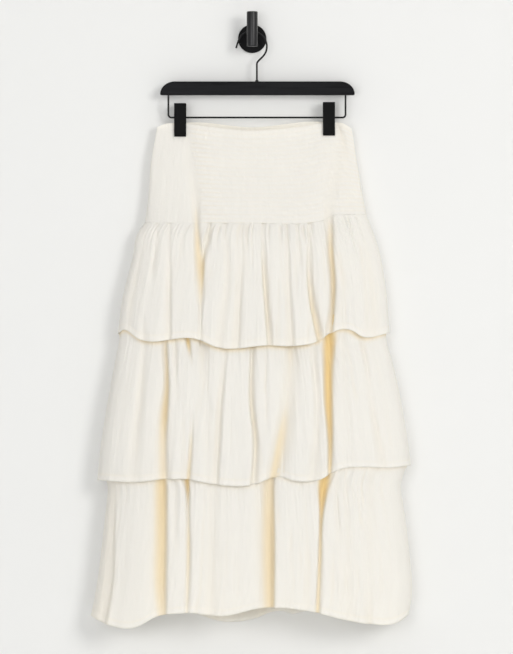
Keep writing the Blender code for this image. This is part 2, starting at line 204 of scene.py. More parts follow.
def startGroup(name, inputs):
    # gives the group, the sockets of its inputs and the place on the object
    tree = bpy.data.node_groups.new(name, "ShaderNodeTree")
    for label, value in inputs.items():
        kind = "NodeSocketColor" if isinstance(value, tuple) else "NodeSocketFloat"
        tree.interface.new_socket(name=label, in_out="INPUT", socket_type=kind).default_value = value
    for label, kind in (("Colour", "NodeSocketColor"), ("Roughness", "NodeSocketFloat"),
                        ("Height", "NodeSocketFloat")):
        tree.interface.new_socket(name=label, in_out="OUTPUT", socket_type=kind)
    place = addNode(tree, "ShaderNodeTexCoord").outputs["Object"]
    return tree, addNode(tree, "NodeGroupInput").outputs, place


def endGroup(tree, colour, roughness, height):
    leave = addNode(tree, "NodeGroupOutput")
    for label, given in (("Colour", colour), ("Roughness", roughness), ("Height", height)):
        tree.links.new(given, leave.inputs[label])
    return tree


def makeGauzeGroup():
    # crinkled double cotton: fine weave, crinkle lines down the grain, slubs, and a warm painted shade in
    # deep folds
    tree, given, place = startGroup("crinkledGauze", {
        "Cloth Colour": (0.8, 0.8, 0.8, 1.0), "Painted Shade Colour": (0.8, 0.7, 0.5, 1.0), "Painted Shade Mask": 0.0,
        "Hem Mask": 0.0, "Weave Threads": 1000.0, "Crinkle Lines": 260.0, "Mottle": 0.04,
    })
    x, y, z = apart(tree, place)
    around = plus(tree, x, times(tree, y, 0.6))
    warp = maths(tree, "SINE", times(tree, around, given["Weave Threads"]))
    weft = maths(tree, "SINE", times(tree, z, given["Weave Threads"]))
    # noise stretched down the cloth for crinkle, and across it for slubs
    crinkled = joined(tree, times(tree, around, given["Crinkle Lines"]), 0.0, times(tree, z, 22.0))
    lines = noise(tree, crinkled, detail=3.0, roughness=0.55)
    slubs = noise(tree, joined(tree, times(tree, around, 60.0), 0.0, times(tree, z, 330.0)))
    patches = noise(tree, place, scale=14.0)
    height = plus(tree, lines, times(tree, slubs, 0.35))
    height = plus(tree, height, times(tree, times(tree, warp, weft), 0.08))
    # colour: mottled a little, with warm painted shade in the folds, whiter where the hem is doubled
    shade = plus(tree, times(tree, lines, 0.6), times(tree, patches, 0.4))
    shade = times(tree, maths(tree, "SUBTRACT", shade, 0.5), given["Mottle"])
    lift = plus(tree, plus(tree, shade, 1.0), times(tree, given["Hem Mask"], 0.015))
    lifted = addNode(tree, "ShaderNodeVectorMath", operation="SCALE")
    # painted shade: the mask mixes the cloth colour towards the warm shade colour
    tree.links.new(mixColours(tree, given["Painted Shade Mask"], given["Cloth Colour"], given["Painted Shade Colour"]),
                   lifted.inputs[0])
    tree.links.new(lift, lifted.inputs["Scale"])
    return endGroup(tree, lifted.outputs[0], plus(tree, 0.82, times(tree, patches, 0.12)), height)


def makeGrainGroup():
    # wood grain along X: long streaks with a few rougher, sunken pores
    tree, given, place = startGroup("stainedGrain", {
        "Light Colour": (0.05, 0.05, 0.05, 1.0), "Dark Colour": (0.02, 0.02, 0.02, 1.0),
        "Streaks": 260.0, "Length": 9.0,
    })
    x, y, z = apart(tree, place)
    streaked = joined(tree, times(tree, x, given["Length"]), times(tree, y, given["Streaks"]),
                      times(tree, z, given["Streaks"]))
    grain = noise(tree, streaked, detail=4.0, roughness=0.6)
    pores = maths(tree, "SUBTRACT", 1.0, smoothBand(tree, grain, 0.30, 0.42))
    return endGroup(tree, mixColours(tree, grain, given["Dark Colour"], given["Light Colour"]),
                    plus(tree, 0.42, times(tree, pores, 0.25)), maths(tree, "SUBTRACT", grain, pores))


def makeSpeckleGroup():
    # powder coat, wire and moulded plastic: fine grain, faint smudges and rubbed patches
    tree, given, place = startGroup("fineSpeckle", {
        "Base Colour": (0.03, 0.03, 0.03, 1.0), "Worn Colour": (0.05, 0.05, 0.05, 1.0),
        "Grain Size": 1600.0, "Roughness": 0.4, "Smudge": 0.08,
    })
    fine = noise(tree, place, scale=given["Grain Size"])
    broad = noise(tree, place, scale=45.0, detail=3.0)
    colour = mixColours(tree, smoothBand(tree, broad, 0.55, 0.75), given["Base Colour"], given["Worn Colour"])
    smudge = times(tree, maths(tree, "SUBTRACT", broad, 0.5), given["Smudge"])
    return endGroup(tree, colour, plus(tree, given["Roughness"], smudge), fine)


def startMaterial(name, values):
    material = bpy.data.materials.new(name)
    material.use_nodes = True
    tree = material.node_tree
    shader = tree.nodes["Principled BSDF"]
    setInputs(shader, values)
    return material, tree, shader, tree.nodes["Material Output"]


def fromGroup(tree, shader, group, values, bump):
    # the group feeds the shader; gives the group's node and the bumped normal
    node = addNode(tree, "ShaderNodeGroup", values, node_tree=group)
    relief = addNode(tree, "ShaderNodeBump", {"Strength": 1.0, "Distance": bump})
    for start, end in ((node.outputs["Colour"], shader.inputs["Base Color"]),
                       (node.outputs["Roughness"], shader.inputs["Roughness"]),
                       (node.outputs["Height"], relief.inputs["Height"]),
                       (relief.outputs["Normal"], shader.inputs["Normal"])):
        tree.links.new(start, end)
    return node, relief.outputs["Normal"]


def blend(tree, share, first, second, output):
    mix = addNode(tree, "ShaderNodeMixShader")
    feed(tree, mix.inputs[0], share)
    tree.links.new(first.outputs[0], mix.inputs[1])
    tree.links.new(second.outputs[0], mix.inputs[2])
    tree.links.new(mix.outputs[0], output.inputs["Surface"])


clothLook = dict(
    colour=(0.958, 0.946, 0.913, 1.0),
    # fold is the colour of the painted shade in folds, creases, shirring rows, along stitches and under a hem
    fold=(0.955, 0.745, 0.38, 1.0),
    through=(0.99, 0.92, 0.74, 1.0),
    glow=0.24,          # share of the light that passes through
    sheen=0.10,
    specular=0.15,
    bump=0.00060,
    weaveThreads=5200.0,
    crinkleLines=300.0,
)


def makeClothMaterial(name):
    material, tree, shader, output = startMaterial(name, {
        "Specular IOR Level": clothLook["specular"], "Sheen Weight": clothLook["sheen"],
        "Sheen Roughness": 0.5,
    })
    node, normal = fromGroup(tree, shader, makeGauzeGroup(), {
        "Cloth Colour": clothLook["colour"], "Painted Shade Colour": clothLook["fold"],
        "Weave Threads": clothLook["weaveThreads"], "Crinkle Lines": clothLook["crinkleLines"],
    }, clothLook["bump"])
    # the painted shade and the doubled hem are read from the mesh
    for attribute, socket in (("paintedShadeMask", "Painted Shade Mask"), ("hemMask", "Hem Mask")):
        read = addNode(tree, "ShaderNodeAttribute", attribute_name=attribute)
        tree.links.new(read.outputs["Fac"], node.inputs[socket])
    glow = addNode(tree, "ShaderNodeBsdfTranslucent", {"Color": clothLook["through"]})
    tree.links.new(normal, glow.inputs["Normal"])
    blend(tree, clothLook["glow"], shader, glow, output)
    return material


def groupMaterial(name, group, values, bump, specular, metallic=0.0):
    material, tree, shader, _ = startMaterial(name, {"Metallic": metallic, "Specular IOR Level": specular})
    fromGroup(tree, shader, group, values, bump)
    return material


speckleGroup = makeSpeckleGroup()


def coated(name, base, worn, roughness, bump, specular, grain=1600.0, smudge=0.08, metallic=0.0):
    return groupMaterial(name, speckleGroup, {
        "Base Colour": (*base, 1.0), "Worn Colour": (*worn, 1.0), "Roughness": roughness,
        "Grain Size": grain, "Smudge": smudge,
    }, bump, specular, metallic)


clothMaterial = makeClothMaterial("crinkledCotton")
woodMaterial = groupMaterial("blackStainedWood", makeGrainGroup(), {
    "Light Colour": (0.013, 0.013, 0.015, 1.0), "Dark Colour": (0.001, 0.001, 0.0012, 1.0),
}, 0.0003, 0.09)
wireMaterial = coated("blackWire", (0.006, 0.006, 0.0065), (0.010, 0.010, 0.011), 0.42, 0.00003, 0.25)
plasticMaterial = coated("mattBlackPlastic", (0.0028, 0.0028, 0.0028), (0.0045, 0.0045, 0.0045), 0.62,
                         0.00006, 0.11, grain=2400.0, smudge=0.12)
coatMaterial = coated("blackPowderCoat", (0.005, 0.005, 0.006), (0.008, 0.008, 0.009), 0.36, 0.00004, 0.42,
                      grain=1900.0)
plateMaterial = coated("darkPowderCoat", (0.002, 0.002, 0.0024), (0.004, 0.004, 0.0045), 0.55, 0.00004, 0.12,
                       grain=1900.0)
springMaterial = coated("springSteel", (0.45, 0.45, 0.46), (0.55, 0.55, 0.56), 0.32, 0.00002, 0.5,
                        metallic=1.0)
print("materials made")


# The cut of the skirt. Outlines and fold runs are in millimetres, all else in metres. Heights and x are in
# the frame, and depths are from the hanger's plane.

hangPlane = (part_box("hanger_bar")[0].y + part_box("hanger_bar")[1].y) / 2
seamGap = 0.0003

skirt = dict(
    cloth=0.0011,          # thickness of the double cloth
    hemCloth=0.0021,       # thickness where the hem is turned up
    hemHeight=0.0125,
    hemPuff=0.0005,        # how far the turned-up hem stands out
    stitchDepth=0.0008,
    stitchWidth=0.0014,
    stitchDrop=0.0015,     # how far the stitches lie below the turned edge
    waist=-0.165,
    tuck=0.0015,           # tier 1 starts this far up behind the yoke's edge
    frontSquareness=3.0,
    backSquareness=4.0,
    softest=0.021,         # the depth that folds are eased towards
    fullDepth=0.012,       # a fold this deep is pinched and leans in full
    fade=0.070,            # height over which a lower tier leaves the one above
    shirringRows=22,
    # painted shade: a warm colour put into deep folds, shallow creases, shirring rows, the hem stitches and
    # under the hem above
    foldShadeDepths=(0.004, 0.025),       # depths at which a fold's painted shade starts and is full
    shallowShade=0.08,           # how much of the painted fold shade the shallow creases get
    shallowShadeDepth=0.007,
    creaseShade=(0.0002, 0.0022),
    rowShade=0.10,
    rowShadeWidth=0.14,         # in rows, the width of the painted shade along a shirring row
    stitchShade=0.07,
    shadeHeight=0.0055,    # reach of the painted shade under the hem above
)


def inMetres(keys):
    return [tuple(value / 1000 for value in key) for key in keys]


def fold(*run, left=1.0, right=1.0, pinch=0.0, lean=0.0, sharp=2.0, tint=1.0):
    # run: (height, x, depth, half width) down the cloth. pinch closes its mouth, lean carries one lip over,
    # and the last setting weighs the painted shade in the fold
    return dict(run=inMetres(run), left=left, right=right, pinch=pinch, lean=lean, sharp=sharp, tint=tint)


longFolds = [
    fold((-178, -120, 1.2, 10), (-231, -113, 2.2, 11), (-277, -105, 4, 10), (-336, -101.5, 10, 7),
         (-386, -98.5, 15, 9), (-423, -95.5, 14, 11), (-465, -94, 10, 9), (-490, -94, 8, 5),
         (-551, -94, 5, 4.5), pinch=0.3, tint=1.35),
    fold((-186, 156, 1.4, 14), (-249, 152, 4, 15), (-320, 140, 7, 11), (-350, 142, 16, 10),
         (-386, 143, 22, 9), (-441, 147, 24, 8), (-550, 143, 18, 6), left=1.0, right=0.9, pinch=0.2,
         lean=-0.10),
]

yoke = dict(
    left=((-167, -174), (-222, -184), (-295, -190), (-338, -196)),
    right=((-167, 182), (-231, 192), (-295, 203), (-325, 209)),
    front=((-150, 3.2), (-181, 4.5), (-220, 12), (-280, 22), (-338, 32)),
    back=((-150, 3.2), (-181, 4.5), (-220, 8), (-280, 12), (-338, 15)),
    bulge=0.005,
    bulgeReach=0.110,
    waistFront=((-174, -163), (-162, -158), (-130, -156), (-90, -161), (0, -170), (90, -162), (140, -155),
                (168, -157), (182, -166)),
    waistBack=((-174, -167), (-130, -156), (0, -163), (140, -155), (182, -166)),
    seam=((-210, -338), (0, -338.5), (105, -338), (128, -334), (145, -325.5), (165, -324), (215, -323)),
    frontFolds=longFolds + [
        fold((-158, 156, 4.5, 6), (-195, 168, 5, 7), (-232, 175, 1, 8), tint=1.6),
    ],
    backFolds=[],
    columns=(380, 260),
    rows=(100, 84),
    flat=((0.52, 0.190), (0.42, 0.190)),
)
tier1 = dict(
    left=((-338, -196), (-350, -205), (-405, -219), (-478, -237), (-545, -246)),
    right=((-325, 209), (-340, 215), (-386, 231), (-459, 244), (-540, 251)),
    front=((-322, 30), (-338, 32), (-360, 40), (-430, 50), (-560, 64)),
    back=((-322, 14.2), (-338, 15), (-360, 18), (-560, 19.5)),
    hemFront=((-247, -541), (-238, -534), (-205, -550), (-96, -551), (-68, -563), (30, -561), (78, -562),
              (120, -553), (143, -538), (178, -533), (200, -545), (252, -538)),
    hemBack=((-247, -541), (-120, -556), (0, -561), (120, -556), (252, -538)),
    frontFolds=longFolds + [
        fold((-336, -77, 4, 4), (-368, -81, 11, 5), (-405, -87, 7, 5.5), (-450, -91, 3, 4),
             (-500, -93, 0, 4), pinch=0.2),
        fold((-370, 19, 4, 5), (-420, 20, 12, 7), (-480, 24, 14, 7), (-555, 30, 13, 8), left=0.6, right=1.2,
             pinch=0.3),
        fold((-370, 103, 4, 5), (-440, 102, 13, 7), (-480, 106, 17, 9), (-555, 121, 20, 12), left=0.6,
             right=1.3, pinch=0.35),
        fold((-380, -19, 2, 7), (-480, -23, 8, 8), (-560, -28, 10, 9), left=1.3, right=0.6, tint=0.4),
        fold((-380, -150, 3, 5), (-470, -150, 7, 6), (-550, -150, 8, 7), left=1.2, right=0.6, tint=0.4),
        fold((-370, -173, 3, 4), (-420, -181, 4, 5), (-450, -184, 0, 6), tint=0.3),
        fold((-370, -196, 2, 6), (-478, -220, 6, 7), (-540, -226, 4, 9), tint=0.3),
        fold((-350, 63, 3, 4), (-470, 67, 8, 6), (-560, 72, 9, 8), left=1.2, right=0.7, tint=0.5),
        fold((-350, 83, 3, 4), (-400, 86, 4, 5), (-440, 89, 0, 6)),
        fold((-360, 200, 1, 9), (-460, 218, 6, 10), (-540, 222, 6, 13), tint=0.3),
        fold((-350, -50, 3, 5), (-420, -45, 5, 6), (-560, -60, 6, 10), tint=0.3),
        fold((-500, -200, 0, 6), (-555, -198, 6, 8), tint=0.3),
    ],
    backFolds=[
        fold((-360, -120, 0, 14), (-560, -150, 6, 18)),
        fold((-360, -45, 0, 13), (-560, -60, 7, 17)),
        fold((-360, 30, 0, 14), (-560, 35, 6, 18)),
        fold((-360, 115, 0, 14), (-560, 140, 7, 18)),
    ],
    calm=((-0.170, 0.065, 0.55),),
    columns=(500, 300),
    rows=(70, 42),
    flat=((0.66, 0.245), (0.50, 0.245)),
)
tier2 = dict(
    left=((-545, -241), (-660, -263), (-752, -277), (-810, -283)),
    right=((-540, 240), (-596, 257), (-660, 271), (-752, 286), (-785, 290)),
    front=((-555, 50), (-600, 62), (-700, 72), (-810, 79)),
    back=((-555, 8.5), (-600, 16), (-700, 19.5), (-810, 20)),
    hemFront=((-284, -806), (-205, -808), (-160, -803), (-118, -803), (-68, -812), (-5, -814), (50, -799),
              (80, -806), (128, -801), (146, -790), (211, -781), (242, -783), (291, -779)),
    hemBack=((-284, -806), (-140, -811), (0, -815), (140, -806), (291, -779)),
    above="tier1",
    shade=0.5,             # painted shade just under the hem above
    calm=((-0.215, 0.045, 0.65), (0.235, 0.045, 0.5)),
    sewnAt=-0.505,
    frontFolds=[
        fold((-550, -195, 3, 6), (-660, -204, 7, 8), (-730, -211, 6, 10), (-800, -214, 4, 14), tint=0.3),
        fold((-550, -157.5, 14, 7), (-640, -154, 20, 8), (-680, -157, 24, 11), (-730, -160, 18, 14),
             (-810, -159, 17, 15), left=1.1, right=0.65, pinch=0.2, tint=1.15),
        fold((-550, -141, 6, 4), (-640, -138, 3, 5), (-680, -138, 0, 6), tint=0.3),
        fold((-550, -117, 20, 6), (-575, -113, 8, 4), (-750, -111.5, 9, 5), (-810, -116, 12, 6), pinch=0.3,
             tint=1.6),
        fold((-550, -90, 12, 10), (-590, -87, 3, 8), (-700, -80, 3, 8)),
        fold((-550, -45, 3, 6), (-660, -56, 9, 6), (-810, -65, 11, 8), left=1.2, right=0.6, tint=0.4),
        fold((-560, -1, 10, 5), (-670, -2, 14, 6), (-735, 5, 14, 7), (-810, 1, 12, 8), left=0.7, right=1.2,
             pinch=0.3),
        fold((-560, 69, 16, 11), (-600, 68, 12, 12), (-660, 63, 11, 13), (-735, 50, 24, 14),
             (-810, 36, 26, 14), left=0.8, right=1.2),
        fold((-560, 111, 7, 5), (-735, 116, 6, 7), (-800, 108, 7, 10), tint=0.4),
        fold((-550, 140, 34, 15), (-590, 138, 34, 11), (-660, 138, 30, 9.5), (-735, 141, 20, 6),
             (-800, 140, 14, 5), pinch=0.2, tint=1.4),
        fold((-550, 198, 8, 5), (-600, 208, 5, 5), (-640, 212, 3, 6), (-700, 222, 6, 6), (-790, 240, 5, 10),
             tint=0.6),
        fold((-550, 165, 4, 5), (-620, 168, 3, 7), (-700, 172, 2, 10)),
    ],
    backFolds=[
        fold((-560, -180, 1, 14), (-800, -195, 4, 20)),
        fold((-560, -95, 1, 13), (-800, -110, 7, 18)),
        fold((-560, -10, 1, 14), (-800, -15, 6, 20)),
        fold((-560, 80, 1, 13), (-800, 90, 7, 18)),
        fold((-560, 165, 1, 14), (-780, 190, 6, 19)),
    ],
    columns=(500, 300),
    rows=(76, 46),
    flat=((0.78, 0.325), (0.58, 0.325)),
)
tier3 = dict(
    left=((-800, -260), (-898, -271), (-989, -282), (-1065, -296)),
    right=((-780, 263), (-861, 277), (-952, 288), (-1007, 292), (-1060, 284)),
    front=((-810, 69), (-860, 77), (-950, 82), (-1060, 87)),
    back=((-810, 7.5), (-860, 16), (-950, 19.5), (-1060, 20)),
    hemFront=((-296, -1052), (-264, -1066), (-209, -1070), (-178, -1053), (-118, -1044), (-50, -1049),
              (10, -1036), (110, -1042), (160, -1055), (215, -1065), (262, -1064), (292, -1046)),
    hemBack=((-296, -1052), (-264, -1060), (-209, -1062), (-165, -1053), (-118, -1049), (-85, -1058),
             (-55, -1066.5), (-25, -1067), (8, -1060), (35, -1049), (56, -1048), (74, -1053), (95, -1048),
             (160, -1053), (292, -1046)),
    above="tier2",
    # painted shade just under the hem above
    shade=0.15,
    calm=((-0.215, 0.035, 0.75), (-0.040, 0.055, 0.4), (0.255, 0.045, 0.4)),
    sewnAt=-0.760,
    frontFolds=[
        fold((-810, -250, 6, 9), (-898, -253, 14, 10), (-989, -256, 20, 12), (-1060, -268, 22, 13),
             left=1.3, right=0.5, pinch=0.3, tint=0.2),
        fold((-810, -161, 18, 16), (-900, -161, 17, 16), (-1000, -162, 15, 16), (-1055, -160, 12, 13),
             left=1.3, right=0.6, pinch=0.15, sharp=2.4, tint=1.45),
        fold((-795, -118, 24, 7), (-840, -116, 10, 4), (-920, -115, 10, 5), (-1040, -118, 7, 5), pinch=0.3,
             tint=1.6),
        fold((-820, -138, 4, 4), (-900, -139, 3, 5), (-950, -137, 0, 6), tint=0.3),
        fold((-820, -72, 4, 9), (-1050, -76, 7, 11), tint=0.3),
        fold((-810, 34, 24, 16), (-920, 35, 30, 17), (-1030, 35, 27, 15), left=1.4, right=0.5, pinch=0.2,
             sharp=2.4),
        fold((-785, 132, 34, 15), (-820, 128, 30, 12), (-860, 125, 18, 6), (-950, 122, 13, 5),
             (-1040, 118, 12, 6), left=0.9, right=1.0, pinch=0.3, tint=1.5),
        fold((-800, 152, 5, 4), (-880, 155, 4, 5), (-960, 158, 1, 8), tint=0.3),
        fold((-800, 168, 5, 4), (-880, 172, 4, 6), (-1050, 176, 4, 10), tint=0.3),
        fold((-800, 215, 4, 7), (-900, 213, 3, 10), (-1020, 212, 4, 8), (-1060, 212, 9, 6), tint=0.5),
        fold((-990, 60, 0, 10), (-1040, 62, 3, 12), tint=0.3),
    ],
    backFolds=[
        fold((-820, -150, 1, 14), (-1060, -165, 8, 20)),
        fold((-820, -60, 1, 14), (-1060, -70, 7, 19)),
        fold((-820, 30, 1, 13), (-1060, 25, 8, 18)),
        fold((-820, 115, 1, 14), (-1060, 125, 7, 20)),
        fold((-820, 195, 1, 13), (-1060, 215, 6, 18)),
    ],
    columns=(500, 300),
    rows=(76, 46),
    flat=((0.84, 0.325), (0.62, 0.325)),
)
cuts = dict(yoke=yoke, tier1=tier1, tier2=tier2, tier3=tier3)
for cut in cuts.values():
    for key in ("left", "right", "front", "back", "seam", "waistFront", "waistBack", "hemFront", "hemBack"):
        if key in cut:
            cut[key] = inMetres(cut[key])

ripples = dict(           # what is too small to place one by one; sizes in metres, lengths down the cloth
    gather=0.0024,        # pleats at a gathered seam
    gatherPitch=0.0044,
    gatherLength=(0.12, 0.06),
    gatherFade=0.050,
    gatherHidden=0.030,   # a lower tier's pleats keep their depth this far down, until they show
    drape=0.0018,         # soft folds down a tier
    drapePitch=0.0110,
    drapeLength=0.20,
    crease=0.0013,        # thin sharp lines between them
    creasePitch=0.0170,
    creaseLength=0.26,
    creaseWidth=0.10,
    creasePatch=(0.030, 0.09),
    crinkle=0.00060,      # broken lines down the grain
    crinklePitch=0.0030,
    crinkleLength=(0.045, 0.022),
    shirr=0.0010,         # puff between two shirring rows
    pucker=0.0005,
    puckerPitch=0.0050,
    hemPucker=0.0005,
    hemPitch=(0.006, 0.05),
    seamPress=0.0004,     # tier 1 is pressed in at its seam
)


def foldShift(folds, x, z):
    # how far the folds press the cloth in, move it sideways, and how much painted shade they call for
    inwards = np.zeros_like(x)
    sideways = np.zeros_like(x)
    shadePress = np.zeros_like(x)
    soft = skirt["softest"]
    for crease in folds:
        centre, depth, half = (along([(key[0], key[i]) for key in crease["run"]], z) for i in (1, 2, 3))
        q = (x - centre) / half
        q = q / np.where(q < 0, crease["left"], crease["right"])
        depth = soft * (1 - np.exp(-np.maximum(depth, 0.0) / soft))
        press = depth * np.exp(-np.abs(q) ** crease["sharp"])
        inwards += press
        shadePress += press * crease["tint"]
        strength = np.clip(depth / skirt["fullDepth"], 0.0, 1.0)
        if crease["pinch"]:
            sideways -= crease["pinch"] * strength * q * half * hill(np.abs(q), 1.25, 0.75)
        if crease["lean"]:
            lip = 1.2 if crease["lean"] < 0 else -1.2
            sideways += crease["lean"] * strength * half * 2.0 * hill(q, lip, 0.8)
    return inwards, sideways, shadePress


def ownSurface(tier, side, share, z, inset):
    # x and y of the piece's own form. share runs from -1 at the left seam to 1 at the right one.
    cut = cuts[tier]
    left = along(cut["left"], z) + inset
    right = along(cut["right"], z) - inset
    u = np.sin(share * math.pi / 2) * np.ones_like(z)
    x = (left + right) / 2 + (right - left) / 2 * u
    outerX = x + inset * u
    power = skirt["frontSquareness"] if side == "front" else skirt["backSquareness"]
    oval = np.maximum(1 - np.abs(u) ** power, 0.0) ** (1 / power)
    depth = along(cut[side], z) - inset
    if tier == "yoke" and side == "front":
        reach = np.maximum(1 - (outerX / cut["bulgeReach"]) ** 2, 0.0)
        depth = depth + cut["bulge"] * reach * smoothStep(-0.260, -0.180, z)
    edge = 1 - u**8
    inwards, sideways, _shadePress = foldShift(cut[side + "Folds"], outerX, z)
    y = hangPlane + outwardOf(side) * (seamGap / 2 + depth * oval - inwards * edge)
    return x + sideways * edge, y


def edgeHeight(tier, side, share, edge):
    # height at which the piece meets one of its outlines
    outline = cuts[tier][edge]
    height = np.full_like(share, outline[0][1])
    for _ in range(3):
        x, _y = ownSurface(tier, side, share, height, 0.0)
        height = along(outline, x)
    return height


def hemHeight(tier, side, share):
    return edgeHeight(tier, side, share, "hem" + side.capitalize())


def seamHeight(share):
    return edgeHeight("yoke", "front", share, "seam")


def waistHeight(side, share):
    x, _y = ownSurface("yoke", side, share, np.full_like(share, skirt["waist"]), 0.0)
    return along(yoke["waist" + side.capitalize()], x)


def grainOf(tier, share):
    # a place across the cloth that stays the same all the way down
    cut = cuts[tier]
    return np.sin(share * math.pi / 2) * (cut["right"][-1][1] - cut["left"][-1][1]) / 2


def fineRelief(tier, side, share, z):
    # small relief, outwards: gathers, drape, crinkle and shirring. A shift only picks another patch of noise.
    seed = 11 * (list(cuts).index(tier) + 1) + (5 if side == "back" else 0)
    grain = grainOf(tier, share) * np.ones_like(z)

    def hills(pitch, length, shift, step):
        return softNoise(grain / pitch + shift, z / length, seed + step)

    edge = 1 - np.abs(np.sin(share * math.pi / 2)) ** 12
    pitch, lengths = ripples["crinklePitch"], ripples["crinkleLength"]
    crinkle = hills(pitch, lengths[0], 90, 0) + 0.6 * hills(pitch * 0.55, lengths[1], 40, 1)
    relief = ripples["crinkle"] * crinkle
    if tier == "yoke":
        row = shirringPlace(side, share, z)
        puff = np.abs(np.sin(math.pi * row)) ** 0.8
        cells = softNoise(grain / ripples["puckerPitch"] + 200, np.floor(row) * 3.7 + 0.5, seed + 2)
        sewn = shirringStrength(side, share, z)
        fade = smoothStep(0.0, 0.6, row) * smoothStep(0.0, 0.6, skirt["shirringRows"] - row)
        return edge * (relief * 0.5 + sewn * fade * puff * (ripples["shirr"] + ripples["pucker"] * cells))
    top = cuts[tier].get("sewnAt")
    drop = (seamHeight(share) * np.ones_like(z) if top is None else top) - z
    shown = drop if top is None else drop - ripples["gatherHidden"]
    pitch, lengths = ripples["gatherPitch"], ripples["gatherLength"]
    pleats = hills(pitch, lengths[0], 300, 3) + 0.5 * hills(pitch * 0.5, lengths[1], 20, 4)
    held = np.exp(-np.maximum(shown, 0.0) / ripples["gatherFade"])
    started = smoothStep(0.0, 0.006, drop)
    relief = relief * (0.4 + 0.6 * started) + ripples["gather"] * pleats * held * started
    drape = hills(ripples["drapePitch"], ripples["drapeLength"], 70, 5)
    relief = relief + ripples["drape"] * drape * smoothStep(0.01, 0.08, drop)
    line = hills(ripples["creasePitch"], ripples["creaseLength"], 30, 6)
    lasting = smoothStep(-0.3, 0.4, hills(*ripples["creasePatch"], 8, 7))
    crease = hill(line, 0.0, ripples["creaseWidth"]) * lasting
    relief = relief - ripples["crease"] * crease * smoothStep(0.004, 0.02, drop)
    for place, reach, strength in cuts[tier].get("calm", ()):
        relief = relief * (1 - strength * np.exp(-(((grain - place) / reach) ** 4)))
    if top is None:
        relief = relief - ripples["seamPress"] * (1 - smoothStep(-0.001, 0.003, drop))
    return edge * relief


def shirringPlace(side, share, z):
    # how many shirring rows down a place on the yoke is
    top = waistHeight(side, share) * np.ones_like(z)
    bottom = seamHeight(share) * np.ones_like(z)
    return (top - z) / (top - bottom) * skirt["shirringRows"]


def shirringStrength(side, share, z):
    # the front lies smooth left of the long fold, and puckers most beside it and by the right seam
    if side == "back":
        return np.ones_like(z)
    place = np.sin(share * math.pi / 2) * (along(yoke["right"], z) - along(yoke["left"], z)) / 2
    past = place - along([(key[0], key[1]) for key in longFolds[0]["run"]], z)
    strength = 0.10 + 0.90 * smoothStep(-0.004, 0.008, past)
    strength = strength * (0.65 + 0.75 * hill(past, 0.018, 0.022))
    return strength * (1 + 0.7 * smoothStep(0.140, 0.160, place))


def clothSurface(tier, side, share, z, inset):
    # near its seam a lower tier follows the inside of the tier above
    x, y = ownSurface(tier, side, share, z, inset)
    y = y + outwardOf(side) * fineRelief(tier, side, share, z)
    above = cuts[tier].get("above")
    if above is None:
        return x, y
    seam = cuts[tier]["sewnAt"]
    held = smoothStep(seam - skirt["fade"], seam, z)
    lowest = hemHeight(above, side, share) * np.ones_like(z)
    step = skirt["cloth"] + seamGap + inset
    followX, followY = clothSurface(above, side, share, np.maximum(z, lowest), step)
    return x * (1 - held) + followX * held, y * (1 - held) + followY * held


def normalsOf(grid, side):
    # outward unit normals of a grid of points
    acrossWay = np.gradient(grid, axis=0)
    downWay = np.gradient(grid, axis=1)
    normal = np.cross(acrossWay, downWay)
    if side == "front":
        normal = -normal
    normal /= np.maximum(np.linalg.norm(normal, axis=2, keepdims=True), 1e-12)
    normal[0] = (-1, 0, 0)
    normal[-1] = (1, 0, 0)
    return normal


def shellFaces(columns, rows, flip):
    # quads of an outer and an inner grid, and of the edges between them
    faces = []
    count = (columns + 1) * (rows + 1)
    index = np.arange(count).reshape(columns + 1, rows + 1)
    a, b, c, d = index[:-1, :-1], index[:-1, 1:], index[1:, 1:], index[1:, :-1]
    outer = np.stack([a, b, c, d], axis=-1).reshape(-1, 4)
    inner = np.stack([a, d, c, b], axis=-1).reshape(-1, 4) + count
    faces += [outer, inner]
    for line, back in ((index[:, 0], False), (index[:, -1], True), (index[0], True), (index[-1], False)):
        p, q = line[:-1], line[1:]
        strip = np.stack([p, q, q + count, p + count], axis=-1)
        faces.append(strip[:, ::-1] if back else strip)
    faces = np.concatenate(faces)
    return (faces[:, ::-1] if flip else faces).tolist()


def paintedFoldShade(tier, side, share, x, z, stitch):
    # painted shade, from 0 to 1: in the folds and creases, along the shirring rows and the stitches, and
    # under the hem above
    cut = cuts[tier]
    pressed, _aside, shadePress = foldShift(cut[side + "Folds"], x, z)
    shallow = skirt["shallowShade"] * np.clip(pressed / skirt["shallowShadeDepth"], 0, 1)
    deep = np.maximum(smoothStep(*skirt["foldShadeDepths"], shadePress), shallow)
    if tier == "yoke":
        row = shirringPlace(side, share, z)
        sewn = shirringStrength(side, share, z) * smoothStep(0.2, 0.8, row)
        return np.maximum(deep, skirt["rowShade"] * sewn * hill(row, np.round(row), skirt["rowShadeWidth"]))
    relief = fineRelief(tier, side, share, z)
    deep = np.maximum(deep, skirt["shallowShade"] * smoothStep(*skirt["creaseShade"], -relief))
    deep = np.maximum(deep, skirt["stitchShade"] * stitch)
    # painted shade just under the hem above
    if "above" in cut:
        under = np.maximum(hemHeight(cut["above"], side, share) - z, 0)
        deep = np.maximum(deep, cut["shade"] * hill(under, 0.0, skirt["shadeHeight"]))
    return deep


